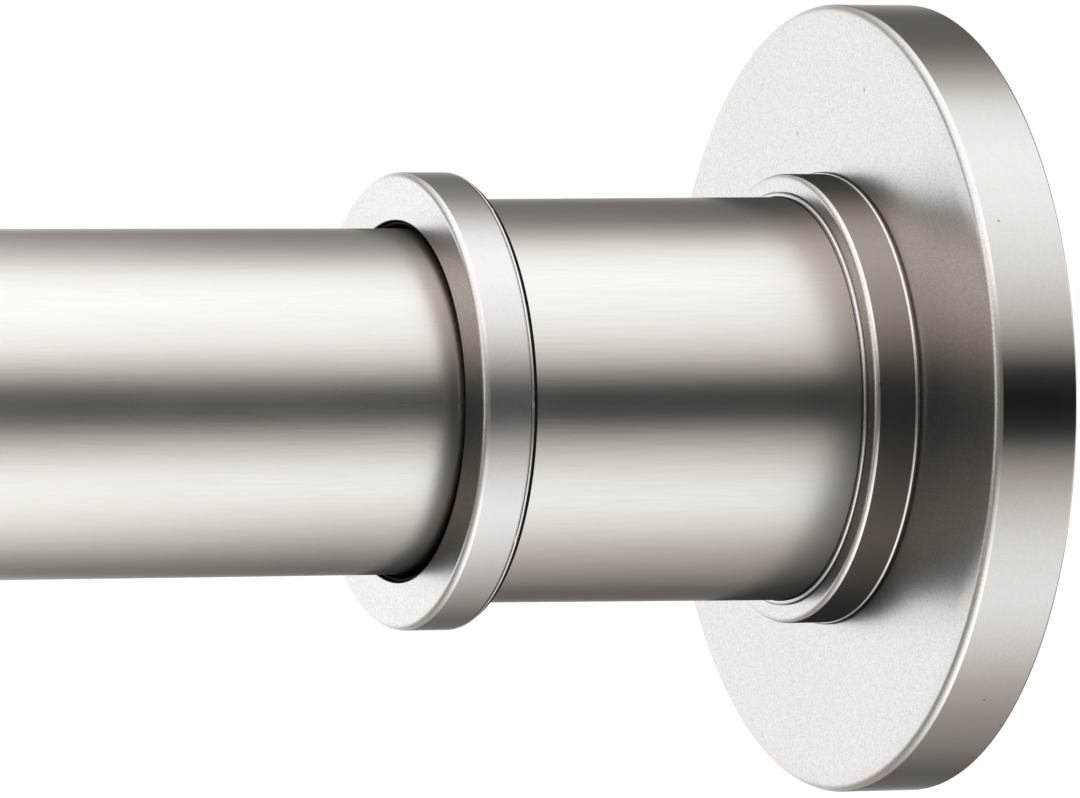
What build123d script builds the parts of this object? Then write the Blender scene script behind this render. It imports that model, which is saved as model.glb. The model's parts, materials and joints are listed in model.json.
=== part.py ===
from build123d import *
import os

# A spring tension rod: two telescoping tubes that a spring wedges between two walls, with a twist lock.
# Sizes are in millimetres. +X runs along the rod to the right wall, +Z is up, and the origin is the centre
# of the rubber face that meets the right wall. Every piece is drawn by its depth, which counts from the
# wall into the room, and by its radius about the rod's axis. It is then placed at the right or left end.

# Length of the closed rod over both rubber faces, and the give of the spring
closed_length = 609.6
spring_stroke = 16.0

# Clearances: pressed together, running on each other, and end to end between pieces that move
press_gap = 0.02
running_gap = 0.05
end_gap = 0.3

# Tubes, with the play all round the narrow one that the mouth bush takes up
outer_tube_diameter = 25.4
outer_tube_wall = 0.8
tube_play = 0.8
inner_tube_wall = 0.8
shown_inner_tube = 14.0

# Wall flange, a dished metal cover with a shallow bevel round its face
flange_diameter = 58.7
flange_depth = 6.5
flange_wall = 1.2
flange_edge_round = 0.6
flange_back_round = 0.25
flange_bevel_width = 1.3
flange_bevel_rise = 0.15
flange_bevel_blend = 4.0

# Rubber pad in the back of the flange
pad_proud = 0.8
pad_thickness = 2.0
pad_edge_round = 0.3
pad_groove_count = 3
pad_groove_pitch = 6.0
pad_groove_width = 1.2
pad_groove_depth = 0.5

# Neck ring on the flange's face, with a lip over a shadow line at its foot and a bead round the sleeve
neck_wall = 1.65
neck_height = 3.75
neck_round = 0.6
neck_spigot_wall = 0.8
neck_bead_width = 0.3
neck_bead_stand = 0.16
neck_bead_round = 0.13
lip_stand = 0.18
lip_width = 0.3
lip_round = 0.14
lip_seam = 0.12

# Sleeve over the spring end, with a wall that is a little thinner at its mouth
sleeve_root_wall = 1.15
sleeve_mouth_wall = 0.92
sleeve_shown = 27.05

# Ring at the mouth of the sleeve, with a fine bead and groove at its back edge
ring_play = 0.56
ring_width = 3.95
ring_face = 1.1
ring_skirt = 1.12
ring_front_round = 0.5
ring_bore_round = 0.15
ring_bead_width = 0.18
ring_bead_round = 0.07
ring_groove_width = 0.1
ring_groove_depth = 0.12

# Plastic carrier between the ring, the sleeve and the tube, with a funnel in the ring's bore
carrier_channel_gap = 0.2
carrier_web = 0.68
carrier_skirt = 0.66
carrier_flange = 0.35
carrier_flange_inset = 0.25
carrier_guide_length = 4.2
carrier_mouth_inset = 0.3
carrier_mouth_wall = 0.2

# Moulded core inside the flange
core_rim = 1.2
core_rim_gap = 0.1
core_plate = 1.6
core_rib_count = 12
core_rib_width = 1.4
core_spigot_length = 4.6
core_nose_play = 1.4
core_nose_length = 3.5
core_web = 2.0
core_edge_round = 0.3

# Bolt that clamps the spindle or the tube plug to the core
bolt_diameter = 5.0
bolt_length = 14.0
bolt_head_diameter = 8.5
bolt_head_height = 2.8
bolt_hex_width = 3.0
bolt_hex_depth = 1.6
bolt_head_round = 0.5
bolt_head_room = 0.4
bolt_washer_diameter = 10.0
bolt_washer_thickness = 1.0
bolt_pocket_gap = 0.5
thread_end_room = 1.0

# Spindle with two flats that keep the tube from turning
spindle_diameter = 8.0
spindle_flats = 6.8
spindle_chamfer = 0.6
spindle_thread_end = 2.0

# Spring round the spindle, and the washer under it
spring_length = 50.0
spring_play = 2.4
spring_wire = 2.0
spring_turns = 9.0
seat_washer_stand = 0.2
seat_washer_thickness = 1.2

# Nylon guide that is pinned in the outer tube and slides on the spindle
guide_length = 16.0
guide_pilot_length = 3.0
guide_pilot_wall = 2.4
guide_groove_width = 2.0
guide_groove_depth = 0.8
guide_edge_chamfer = 0.5
pin_diameter = 2.5
pin_length = 4.2
pin_inset = 4.0
pin_end_round = 0.3

# Stop nut and washer on the spindle
stop_washer_stand = 4.0
stop_washer_thickness = 1.5
stop_nut_width = 13.0
stop_nut_height = 6.5
nut_chamfer = 0.6

# Bushes at the two ends of the outer tube
end_bush_wall = 1.15
end_bush_length = 8.0
end_bush_room = 1.5
end_bush_lip = 1.2
end_bush_chamfer = 0.4
mouth_bush_length = 12.0
mouth_bush_lip = 1.8
mouth_bush_round = 0.5

# Twist lock: a screw fixed in the inner tube, a cone nut on it, and a split collet round the cone
lock_screw_diameter = 8.0
lock_screw_room = 3.0
lock_screw_tip = 1.0
lock_nut_width = 12.0
lock_nut_height = 4.5
cone_nut_length = 19.2
cone_free_gap = 0.6
cone_fin_width = 1.6
cone_fin_height = 1.6
cone_fin_length = 15.0
cone_fin_inset = 2.0
collet_length = 26.0
collet_mouth_wall = 2.45
collet_cone_length = 18.0
collet_cone_play = 2.4
collet_throat_play = 1.2
collet_slot_width = 2.2
collet_slot_length = 21.0
collet_mouth_inset = 4.2
collet_groove_count = 5
collet_groove_pitch = 3.4
collet_groove_width = 1.0
collet_groove_depth = 0.5
lock_collar_stand = 0.3
lock_collar_length = 3.7
lock_plug_length = 20.0
lock_plug_chamfer = 0.8
lock_screw_grip = 14.0

# Plug that carries the inner tube on the left core
tube_plug_length = 24.0
tube_plug_collar = 1.5

# Depths of the wall end, from the rubber face into the room
flange_back = pad_proud
flange_edge = flange_back + flange_depth
flange_face = flange_edge + flange_bevel_rise
flange_plate = flange_face - flange_wall
neck_front = flange_face + neck_height
ring_back = neck_front + sleeve_shown
ring_front = ring_back + ring_width
ring_web = ring_front - ring_face
sleeve_end = ring_web - carrier_web
core_front = pad_thickness + core_plate
core_spigot_end = flange_plate + core_spigot_length
nose_end = core_spigot_end + core_nose_length
pocket_floor = pad_thickness + bolt_head_room + bolt_head_height + bolt_washer_thickness
socket_floor = pocket_floor + core_web

# Radii of the tubes
outer_radius = outer_tube_diameter / 2
outer_bore = outer_radius - outer_tube_wall
inner_radius = outer_bore - tube_play
inner_bore = inner_radius - inner_tube_wall

# Radii of the wall end, from the tube outwards and from the flange inwards
sleeve_inside = outer_radius + end_bush_wall + running_gap
sleeve_root = sleeve_inside + sleeve_root_wall
sleeve_mouth = sleeve_inside + sleeve_mouth_wall
hub_radius = sleeve_inside - press_gap
nose_radius = outer_bore - core_nose_play
neck_bore = sleeve_root + press_gap
neck_radius = neck_bore + neck_wall
lip_radius = neck_radius + lip_stand
flange_hole = neck_bore + neck_spigot_wall + press_gap
carrier_channel = sleeve_mouth + carrier_channel_gap
carrier_radius = carrier_channel + carrier_skirt
ring_inside = carrier_radius + press_gap
ring_radius = ring_inside + ring_skirt
ring_bore = outer_radius + ring_play
flange_radius = flange_diameter / 2
flange_inside = flange_radius - flange_wall
core_radius = flange_inside - core_rim_gap
pad_radius = core_radius - core_rim - core_rim_gap
spindle_radius = spindle_diameter / 2
lock_screw_radius = lock_screw_diameter / 2
collet_radius = outer_bore - running_gap
collet_mouth = collet_radius - collet_mouth_wall
collet_cone_end = lock_screw_radius + collet_cone_play
cone_slope = (collet_mouth - collet_cone_end) / collet_cone_length

# Depths along the inside of the rod, still from the right wall
spring_start = nose_end + seat_washer_thickness
guide_start = spring_start + spring_length
guide_end = guide_start + guide_length
stop_washer_start = guide_end + end_gap
stop_nut_start = stop_washer_start + stop_washer_thickness
spindle_end = stop_nut_start + stop_nut_height + spindle_thread_end
end_bush_start = core_spigot_end + spring_stroke + end_bush_room
outer_tube_start = end_bush_start + end_bush_lip
lock_screw_start = spindle_end + spring_stroke + lock_screw_room
lock_nut_start = lock_screw_start + lock_screw_tip
cone_nut_start = lock_nut_start + lock_nut_height + end_gap
collet_start = cone_nut_start + collet_mouth_inset
collet_end = collet_start + collet_length
lock_collar_start = collet_end + end_gap
inner_tube_start = lock_collar_start + lock_collar_length
inner_tube_end = closed_length - nose_end - tube_plug_collar
outer_tube_end = closed_length - ring_front - shown_inner_tube - mouth_bush_lip


def turned(corners, rounds=(), chamfers=()):
    """Turn an outline of (depth, radius) corners about the rod's axis, with some corners eased first."""
    outline = make_face(Polyline(*corners, close=True)).face()
    for depth, radius, size in rounds:
        corner = outline.vertices().sort_by_distance((depth, radius, 0))[0]
        outline = outline.fillet_2d(size, [corner])
    for depth, radius, size in chamfers:
        corner = outline.vertices().sort_by_distance((depth, radius, 0))[0]
        outline = outline.chamfer_2d(size, size, [corner])
    return revolve(outline, Axis.X)


def hollow(start, end, bore, radius, rounds=(), chamfers=()):
    """A plain ring or tube between two depths."""
    corners = [(start, bore), (start, radius), (end, radius), (end, bore)]
    return turned(corners, rounds, chamfers)


def rod(start, end, radius, rounds=(), chamfers=()):
    """A plain round bar between two depths."""
    return hollow(start, end, 0, radius, rounds, chamfers)


def slab(start, end, width, height):
    """A block centred on the axis, between two depths."""
    return Pos((start + end) / 2, 0, 0) * Box(end - start, width, height)


def flatted(start, end, radius, across):
    """A round bar with two flats, as the spindle and the holes that hold it have."""
    return rod(start, end, radius) & slab(start, end, 2 * radius, across)


def hexagon(start, end, across):
    """A hexagonal bar between two depths, by its width across flats."""
    outline = Plane.YZ.offset(start) * RegularPolygon(across / 2, 6, major_radius=False)
    return extrude(outline, end - start)


# Wall end

def make_wall_pad():
    """Rubber disc with round grooves that grip the wall."""
    pad = rod(0, pad_thickness, pad_radius, rounds=[(0, pad_radius, pad_edge_round)])
    for index in range(pad_groove_count):
        outside = pad_radius - (index + 1) * pad_groove_pitch
        pad -= hollow(0, pad_groove_depth, outside - pad_groove_width, outside)
    return pad


def make_flange():
    """Dished metal disc: a rim, a soft edge, a shallow bevel and a flat face with a hole for the neck."""
    bevel_radius = flange_radius - flange_bevel_width
    corners = [
        (flange_back, flange_inside),
        (flange_back, flange_radius),
        (flange_edge, flange_radius),
        (flange_face, bevel_radius),
        (flange_face, flange_hole),
        (flange_plate, flange_hole),
        (flange_plate, flange_inside),
    ]
    rounds = [
        (flange_back, flange_radius, flange_back_round),
        (flange_edge, flange_radius, flange_edge_round),
        (flange_face, bevel_radius, flange_bevel_blend),
    ]
    return turned(corners, rounds)


def make_neck_ring():
    """Stepped ring round the root of the sleeve, with a spigot that centres it in the flange."""
    spigot = neck_bore + neck_spigot_wall
    bead = neck_bore + neck_bead_width
    bead_front = neck_front + neck_bead_stand
    lip_start = flange_face + lip_seam
    lip_end = lip_start + lip_width
    corners = [
        (flange_plate, neck_bore),
        (flange_plate, spigot),
        (flange_face, spigot),
        (flange_face, neck_radius - lip_stand),
        (lip_start, neck_radius - lip_stand),
        (lip_start, lip_radius),
        (lip_end, lip_radius),
        (lip_end, neck_radius),
        (neck_front, neck_radius),
        (neck_front, bead),
        (bead_front, bead),
        (bead_front, neck_bore),
    ]
    rounds = [
        (lip_start, lip_radius, lip_round),
        (lip_end, lip_radius, lip_round),
        (neck_front, neck_radius, neck_round),
        (bead_front, bead, neck_bead_round),
    ]
    return turned(corners, rounds)


def make_sleeve():
    """Thin tube over the spring end: straight bore, outside a little wider at the flange."""
    corners = [
        (core_front, sleeve_inside),
        (core_front, sleeve_root),
        (sleeve_end, sleeve_mouth),
        (sleeve_end, sleeve_inside),
    ]
    return turned(corners)


def make_ring():
    """Metal ring at the sleeve's mouth: a face with the bore for the tube, and a skirt behind it."""
    bead_end = ring_back + ring_bead_width
    groove_end = bead_end + ring_groove_width
    groove_floor = ring_radius - ring_groove_depth
    corners = [
        (ring_back, ring_inside),
        (ring_back, ring_radius),
        (bead_end, ring_radius),
        (bead_end, groove_floor),
        (groove_end, groove_floor),
        (groove_end, ring_radius),
        (ring_front, ring_radius),
        (ring_front, ring_bore),
        (ring_web, ring_bore),
        (ring_web, ring_inside),
    ]
    rounds = [
        (ring_back, ring_radius, ring_bead_round),
        (bead_end, ring_radius, ring_bead_round),
        (groove_end, ring_radius, ring_bead_round),
        (ring_front, ring_radius, ring_front_round),
        (ring_front, ring_bore, ring_bore_round),
    ]
    return turned(corners, rounds)


def make_ring_carrier(bore):
    """Black moulding that straddles the sleeve's mouth, carries the ring and guides the tube."""
    mouth = ring_front - carrier_mouth_inset
    mouth_radius = ring_bore - press_gap
    corners = [
        (ring_web - carrier_guide_length, bore),
        (ring_web, bore),
        (mouth, mouth_radius - carrier_mouth_wall),
        (mouth, mouth_radius),
        (ring_web, mouth_radius),
        (ring_web, carrier_radius),
        (ring_back, carrier_radius),
        (ring_back, ring_radius - carrier_flange_inset),
        (ring_back - carrier_flange, ring_radius - carrier_flange_inset),
        (ring_back - carrier_flange, carrier_channel),
        (sleeve_end, carrier_channel),
        (sleeve_end, hub_radius),
        (ring_web - carrier_guide_length, hub_radius),
    ]
    return turned(corners)


def make_flange_core():
    """Moulding behind the flange: rim, plate, ribs, the hub that holds the sleeve, and a spindle socket."""
    corners = [
        (pad_thickness, 0),
        (pad_thickness, core_radius - core_rim),
        (flange_back + core_rim_gap, core_radius - core_rim),
        (flange_back + core_rim_gap, core_radius),
        (flange_plate, core_radius),
        (flange_plate, core_radius - core_rim),
        (core_front, core_radius - core_rim),
        (core_front, hub_radius),
        (core_spigot_end, hub_radius),
        (core_spigot_end, nose_radius),
        (nose_end, nose_radius),
        (nose_end, 0),
    ]
    rounds = [
        (core_spigot_end, hub_radius, core_edge_round),
        (nose_end, nose_radius, core_edge_round),
    ]
    core = turned(corners, rounds)
    rib_inside = flange_hole
    rib_length = core_radius - core_rim / 2 - rib_inside
    rib_middle = Pos((core_front + flange_plate) / 2, rib_inside + rib_length / 2, 0)
    rib = rib_middle * Box(flange_plate - core_front, rib_length, core_rib_width)
    for index in range(core_rib_count):
        core += Rot(360 * index / core_rib_count, 0, 0) * rib
    core -= rod(pad_thickness, pocket_floor, bolt_washer_diameter / 2 + bolt_pocket_gap)
    core -= rod(pocket_floor, socket_floor, bolt_diameter / 2 + running_gap)
    socket = flatted(socket_floor, nose_end, spindle_radius + press_gap, spindle_flats + 2 * press_gap)
    return core - socket


def make_core_bolt():
    """Button-head bolt from behind, with a hexagon socket."""
    seat = pocket_floor - bolt_washer_thickness
    top = seat - bolt_head_height
    head_radius = bolt_head_diameter / 2
    head = rod(top, seat, head_radius, rounds=[(top, head_radius, bolt_head_round)])
    shank_end = seat + bolt_length
    shank_tip = [(shank_end, bolt_diameter / 2, bolt_head_round)]
    shank = rod(seat, shank_end, bolt_diameter / 2, chamfers=shank_tip)
    return head + shank - hexagon(top, top + bolt_hex_depth, bolt_hex_width)


def make_bolt_washer():
    """Washer between the bolt's head and the core."""
    start = pocket_floor - bolt_washer_thickness
    return hollow(start, pocket_floor, bolt_diameter / 2 + running_gap, bolt_washer_diameter / 2)


def tapped_hole(start):
    """Hole for the core bolt, in whatever the bolt clamps."""
    end = pocket_floor - bolt_washer_thickness + bolt_length + thread_end_room
    return rod(start, end, bolt_diameter / 2 + press_gap)


# Spring end

def make_spindle():
    """Steel bar with two flats along its guide, a round threaded end, and a tapped hole for the bolt."""
    guide = flatted(socket_floor, guide_end, spindle_radius, spindle_flats)
    tip = [(spindle_end, spindle_radius, spindle_chamfer)]
    threaded = rod(guide_end, spindle_end, spindle_radius, chamfers=tip)
    return guide + threaded - tapped_hole(socket_floor)


def make_seat_washer():
    """Flat washer that spreads the spring's push on the core."""
    bore = spindle_radius + running_gap
    return hollow(nose_end, spring_start, bore, outer_bore - spring_play + seat_washer_stand)


def make_tension_spring():
    """Open coil spring round the spindle, with its ends ground flat."""
    coil_radius = outer_bore - spring_play - spring_wire / 2
    pitch = (spring_length - spring_wire / 2) / spring_turns
    extra_turns = 1
    height = pitch * (spring_turns + extra_turns)
    path = Helix(pitch, height, coil_radius)
    section = Plane(origin=path @ 0, z_dir=path % 0) * Circle(spring_wire / 2)
    coil = Rot(0, 90, 0) * sweep(section, path, is_frenet=True)
    middle = spring_start + spring_length / 2
    coil = Pos(middle - height / 2, 0, 0) * coil
    return coil & rod(spring_start, guide_start - running_gap, outer_bore)


def make_spindle_guide():
    """Nylon plug in the outer tube: a pilot for the spring, a flatted bore and two grease grooves."""
    radius = outer_bore - press_gap
    pilot_radius = spindle_radius + guide_pilot_wall
    plug = rod(guide_start, guide_end, radius, chamfers=[
        (guide_start, radius, guide_edge_chamfer),
        (guide_end, radius, guide_edge_chamfer),
    ])
    plug += rod(guide_start - guide_pilot_length, guide_start, pilot_radius)
    for share in (1 / 4, 1 / 2):
        groove = guide_start + guide_length * share - guide_groove_width / 2
        plug -= hollow(groove, groove + guide_groove_width, radius - guide_groove_depth, radius)
    bore = flatted(
        guide_start - guide_pilot_length,
        guide_end,
        spindle_radius + running_gap,
        spindle_flats + 2 * running_gap,
    )
    return plug - bore - pin_pair(guide_end - pin_inset, outer_radius, press_gap)


def pin_pair(depth, tube_radius, gap):
    """Two short pins, above and below the axis, that end just inside a tube's outer face."""
    outside = tube_radius - press_gap + gap
    inside = tube_radius - press_gap - pin_length - gap
    pin = Pos(0, 0, inside) * Cylinder(
        pin_diameter / 2 + gap,
        outside - inside,
        align=(Align.CENTER, Align.CENTER, Align.MIN),
    )
    pins = Pos(depth, 0, 0) * pin
    return pins + Rot(180, 0, 0) * pins


def make_pins(depth, tube_radius):
    """The pins that hold a plug in its tube, with eased inner ends."""
    pins = pin_pair(depth, tube_radius, 0)
    ends = pins.edges().filter_by(GeomType.CIRCLE).group_by(lambda edge: round(abs(edge.center().Z), 3))[0]
    return chamfer(ends, pin_end_round)


def make_stop_washer():
    """Washer that the guide rests against when the spring is at its longest."""
    bore = spindle_radius + running_gap
    return hollow(stop_washer_start, stop_nut_start, bore, spindle_radius + stop_washer_stand)


def make_nut(start, height, across, bore):
    """Plain hexagon nut with turned corners."""
    corner_radius = across / 3 ** 0.5
    blank = hexagon(start, start + height, across)
    turning = rod(start, start + height, corner_radius, chamfers=[
        (start, corner_radius, nut_chamfer),
        (start + height, corner_radius, nut_chamfer),
    ])
    return (blank & turning) - rod(start, start + height, bore)


def make_outer_tube():
    """Wide tube of the rod, with the two holes for the guide's pins."""
    tube = hollow(outer_tube_start, outer_tube_end, outer_bore, outer_radius)
    return tube - pin_pair(guide_end - pin_inset, outer_radius, press_gap)


def make_end_bush():
    """Nylon ring on the hidden end of the outer tube, which runs in the sleeve."""
    outside = sleeve_inside - running_gap
    grip = outer_radius + press_gap
    end = end_bush_start + end_bush_length
    corners = [
        (end_bush_start, outer_bore),
        (end_bush_start, outside),
        (end, outside),
        (end, grip),
        (outer_tube_start, grip),
        (outer_tube_start, outer_bore),
    ]
    chamfers = [
        (end_bush_start, outside, end_bush_chamfer),
        (end, outside, end_bush_chamfer),
    ]
    return turned(corners, chamfers=chamfers)


def make_mouth_bush():
    """Plastic bush in the open end of the outer tube, which guides the inner tube."""
    bore = inner_radius + running_gap
    spigot = outer_bore - press_gap
    lip_end = outer_tube_end + mouth_bush_lip
    corners = [
        (outer_tube_end - mouth_bush_length, bore),
        (outer_tube_end - mouth_bush_length, spigot),
        (outer_tube_end, spigot),
        (outer_tube_end, outer_radius),
        (lip_end, outer_radius),
        (lip_end, bore),
    ]
    return turned(corners, rounds=[(lip_end, outer_radius, mouth_bush_round)])


# Twist lock

def make_lock_screw():
    """Screw fixed in the lock plug. The cone nut runs along it when the tubes are twisted."""
    tip = [(lock_screw_start, lock_screw_radius, spindle_chamfer)]
    return rod(lock_screw_start, inner_tube_start + lock_screw_grip, lock_screw_radius, chamfers=tip)


def cone_radius(depth):
    """Radius of the collet's conical bore at a depth."""
    return collet_mouth - (depth - collet_start) * cone_slope


def make_cone_nut():
    """Tapered nut with four fins that run in the collet's slots and keep it from turning."""
    end = cone_nut_start + cone_nut_length
    bore = lock_screw_radius + running_gap
    corners = [
        (cone_nut_start, bore),
        (cone_nut_start, cone_radius(cone_nut_start) - cone_free_gap),
        (end, cone_radius(end) - cone_free_gap),
        (end, bore),
    ]
    nut = turned(corners)
    fin_start = cone_nut_start + cone_fin_inset
    fin_radius = cone_radius(fin_start) - cone_free_gap + cone_fin_height / 2
    fin_middle = Pos(fin_start + cone_fin_length / 2, 0, (bore + fin_radius) / 2)
    fin = fin_middle * Box(cone_fin_length, cone_fin_width, fin_radius - bore)
    for angle in range(0, 360, 90):
        nut += Rot(angle, 0, 0) * fin
    return nut - rod(cone_nut_start, end, bore)


def make_lock_collet():
    """Nylon collet with a conical bore, four slots and gripping grooves. The cone nut spreads it."""
    cone_end = collet_start + collet_cone_length
    throat = lock_screw_radius + collet_throat_play
    groove_floor = collet_radius - collet_groove_depth
    corners = [
        (collet_start, collet_mouth),
        (collet_start, collet_radius),
        (collet_end, collet_radius),
        (collet_end, throat),
        (cone_end, throat),
        (cone_end, collet_cone_end),
    ]
    chamfers = [
        (collet_start, collet_radius, collet_groove_depth),
        (collet_end, collet_radius, collet_groove_depth),
    ]
    collet = turned(corners, chamfers=chamfers)
    for index in range(collet_groove_count):
        groove = collet_start + collet_groove_pitch * (index + 1)
        collet -= hollow(groove, groove + collet_groove_width, groove_floor, collet_radius)
    slot_end = collet_start + collet_slot_length
    collet -= slab(collet_start, slot_end, 2 * collet_radius, collet_slot_width)
    collet -= slab(collet_start, slot_end, collet_slot_width, 2 * collet_radius)
    return collet


def make_lock_plug():
    """Plug in the right end of the inner tube. Its collar takes the collet's thrust."""
    collar = inner_radius + lock_collar_stand
    body = inner_bore - press_gap
    end = inner_tube_start + lock_plug_length
    corners = [
        (lock_collar_start, 0),
        (lock_collar_start, collar),
        (inner_tube_start, collar),
        (inner_tube_start, body),
        (end, body),
        (end, 0),
    ]
    plug = turned(corners, chamfers=[(end, body, lock_plug_chamfer)])
    seat = rod(lock_collar_start, inner_tube_start + lock_screw_grip, lock_screw_radius + press_gap)
    return plug - seat - pin_pair(lock_pin_depth(), inner_radius, press_gap)


def lock_pin_depth():
    """Depth of the pins that hold the lock plug in the inner tube."""
    return inner_tube_start + pin_inset


def tube_pin_depth():
    """Depth of the pins that hold the left plug in the inner tube."""
    return inner_tube_end - tube_plug_length + pin_inset


def make_inner_tube():
    """Narrow tube of the rod, pinned to the lock plug at one end and to the left plug at the other."""
    tube = hollow(inner_tube_start, inner_tube_end, inner_bore, inner_radius)
    tube -= pin_pair(lock_pin_depth(), inner_radius, press_gap)
    return tube - pin_pair(tube_pin_depth(), inner_radius, press_gap)


def make_tube_plug():
    """Plug in the left end of the inner tube, with a flatted tail that the left core holds."""
    body = inner_bore - press_gap
    collar_end = nose_end + tube_plug_collar
    end = collar_end + tube_plug_length
    tail = flatted(socket_floor, nose_end, spindle_radius, spindle_flats)
    corners = [
        (nose_end, 0),
        (nose_end, inner_radius),
        (collar_end, inner_radius),
        (collar_end, body),
        (end, body),
        (end, 0),
    ]
    plug = tail + turned(corners, chamfers=[(end, body, lock_plug_chamfer)])
    plug -= tapped_hole(socket_floor)
    return plug - pin_pair(closed_length - tube_pin_depth(), inner_radius, press_gap)


# Placing the pieces

to_right = Rot(0, 0, 180)
to_left = Pos(-closed_length, 0, 0)

wall_end = {
    "wall_pad": make_wall_pad(),
    "flange": make_flange(),
    "neck_ring": make_neck_ring(),
    "flange_core": make_flange_core(),
    "core_bolt": make_core_bolt(),
    "bolt_washer": make_bolt_washer(),
    "sleeve": make_sleeve(),
    "ring": make_ring(),
}

pieces = {}
for name, solid in wall_end.items():
    pieces["right_" + name] = to_right * solid
    pieces["left_" + name] = to_left * solid

pieces["right_ring_carrier"] = to_right * make_ring_carrier(outer_radius + running_gap)
pieces["left_ring_carrier"] = to_left * make_ring_carrier(inner_radius + press_gap)
pieces["left_tube_plug"] = to_left * make_tube_plug()

stop_nut = make_nut(stop_nut_start, stop_nut_height, stop_nut_width, spindle_radius + press_gap)
lock_nut = make_nut(lock_nut_start, lock_nut_height, lock_nut_width, lock_screw_radius + press_gap)

along_the_rod = {
    "spindle": make_spindle(),
    "spring_seat_washer": make_seat_washer(),
    "tension_spring": make_tension_spring(),
    "spindle_guide": make_spindle_guide(),
    "guide_pins": make_pins(guide_end - pin_inset, outer_radius),
    "stop_washer": make_stop_washer(),
    "stop_nut": stop_nut,
    "outer_tube": make_outer_tube(),
    "tube_end_bush": make_end_bush(),
    "tube_mouth_bush": make_mouth_bush(),
    "lock_screw": make_lock_screw(),
    "lock_end_nut": lock_nut,
    "cone_nut": make_cone_nut(),
    "lock_collet": make_lock_collet(),
    "lock_plug": make_lock_plug(),
    "lock_plug_pins": make_pins(lock_pin_depth(), inner_radius),
    "inner_tube": make_inner_tube(),
    "left_plug_pins": make_pins(tube_pin_depth(), inner_radius),
}
for name, solid in along_the_rod.items():
    pieces[name] = to_right * solid

os.makedirs("parts", exist_ok=True)
for name, solid in pieces.items():
    export_step(solid, "parts/" + name + ".step")
print("pieces", len(pieces))
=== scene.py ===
# %% [markdown]
# # Spring tension rod
#
# The real thing is a metal rod that a spring wedges between two walls. This script dresses the packed
# model: it makes the metal shells, the rubber feet and the spring again with finer meshes, gives every
# piece its finish, and sets up a plain studio with the camera where the photographer stood.
#
# The imported model comes first, because every later piece takes its place and size from it. Its lowest and
# highest corners are kept now: the rod's length and middle come from them.

# %% Load the frame
import json
import math

import bmesh
import bpy
from mathutils import Matrix, Vector


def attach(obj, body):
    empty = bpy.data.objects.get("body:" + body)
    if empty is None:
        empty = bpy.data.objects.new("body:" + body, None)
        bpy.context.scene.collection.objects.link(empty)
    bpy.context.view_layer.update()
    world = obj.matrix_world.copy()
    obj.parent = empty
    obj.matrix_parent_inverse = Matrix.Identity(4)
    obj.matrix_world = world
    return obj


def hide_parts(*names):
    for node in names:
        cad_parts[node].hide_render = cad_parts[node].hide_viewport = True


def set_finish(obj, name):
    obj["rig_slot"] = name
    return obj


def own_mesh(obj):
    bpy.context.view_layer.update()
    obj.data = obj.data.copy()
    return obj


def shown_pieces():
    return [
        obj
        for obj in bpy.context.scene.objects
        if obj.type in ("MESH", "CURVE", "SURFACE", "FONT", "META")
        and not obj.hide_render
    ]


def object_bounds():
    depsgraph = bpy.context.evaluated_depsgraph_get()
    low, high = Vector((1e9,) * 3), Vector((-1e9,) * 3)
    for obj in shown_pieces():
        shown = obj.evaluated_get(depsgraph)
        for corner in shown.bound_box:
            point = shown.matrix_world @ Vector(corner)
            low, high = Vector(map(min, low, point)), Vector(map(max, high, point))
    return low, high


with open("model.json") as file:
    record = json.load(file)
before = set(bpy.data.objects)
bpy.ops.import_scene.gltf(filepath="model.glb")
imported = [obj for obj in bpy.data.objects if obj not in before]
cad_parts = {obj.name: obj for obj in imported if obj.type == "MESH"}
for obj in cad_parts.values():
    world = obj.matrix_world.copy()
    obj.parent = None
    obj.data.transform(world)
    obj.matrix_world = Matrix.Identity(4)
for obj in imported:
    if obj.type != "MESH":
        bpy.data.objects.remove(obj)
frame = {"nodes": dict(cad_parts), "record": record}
cad_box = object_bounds()

# %% [markdown]
# ## Measuring the solids
#
# Every piece of a rod is round about one axis, so four numbers say where a solid lies: the depth at which
# it starts and ends, counted from the wall into the room, and its smallest and largest radius. They could
# be typed in again, but then they would drift from the solids. They are read from the nodes instead, and
# only the small inner steps of each outline are given as values, in millimetres.

# %% Depths and radii of the nodes
MM = 0.001
ROD_LENGTH = (cad_box[1].x - cad_box[0].x) / MM

node_body = {}
for body, nodes in frame["record"]["behaviour"]["bodies"].items():
    for node in nodes:
        node_body[node] = body


def measure(node):
    """Start and end depth, bore and outside radius of a node, in millimetres from the right wall."""
    corners = [vertex.co / MM for vertex in frame["nodes"][node].data.vertices]
    depths = [-corner.x for corner in corners]
    radii = [math.hypot(corner.y, corner.z) for corner in corners]
    return min(depths), max(depths), min(radii), max(radii)


flange_start, flange_face, flange_hole, flange_radius = measure("right_flange")
neck_start, neck_end, neck_bore, lip_radius = measure("right_neck_ring")
sleeve_start, sleeve_end, sleeve_bore, sleeve_radius = measure("right_sleeve")
ring_start, ring_end, ring_bore, ring_radius = measure("right_ring")
_, _, tube_bore, tube_radius = measure("outer_tube")
for label, radius in (("flange", flange_radius), ("sleeve", sleeve_radius), ("tube", tube_radius)):
    print(label, "radius", round(radius, 2))

# %% [markdown]
# ## Placing and shading a piece
#
# Depth counts from the wall, so the same outline serves both ends of the rod: at the right end it is laid
# off towards -X, and at the left end it starts from the left wall and goes the other way. A lathe leaves
# smooth walls and crisp corners. Smooth shading alone would blur the corners, so it breaks where two faces
# meet at more than a sharp angle, and weighted normals keep the large flat faces flat.

# %% Placing and shading
SHARP_ANGLE = math.radians(34)
WELD_DISTANCE = 0.0005


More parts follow.
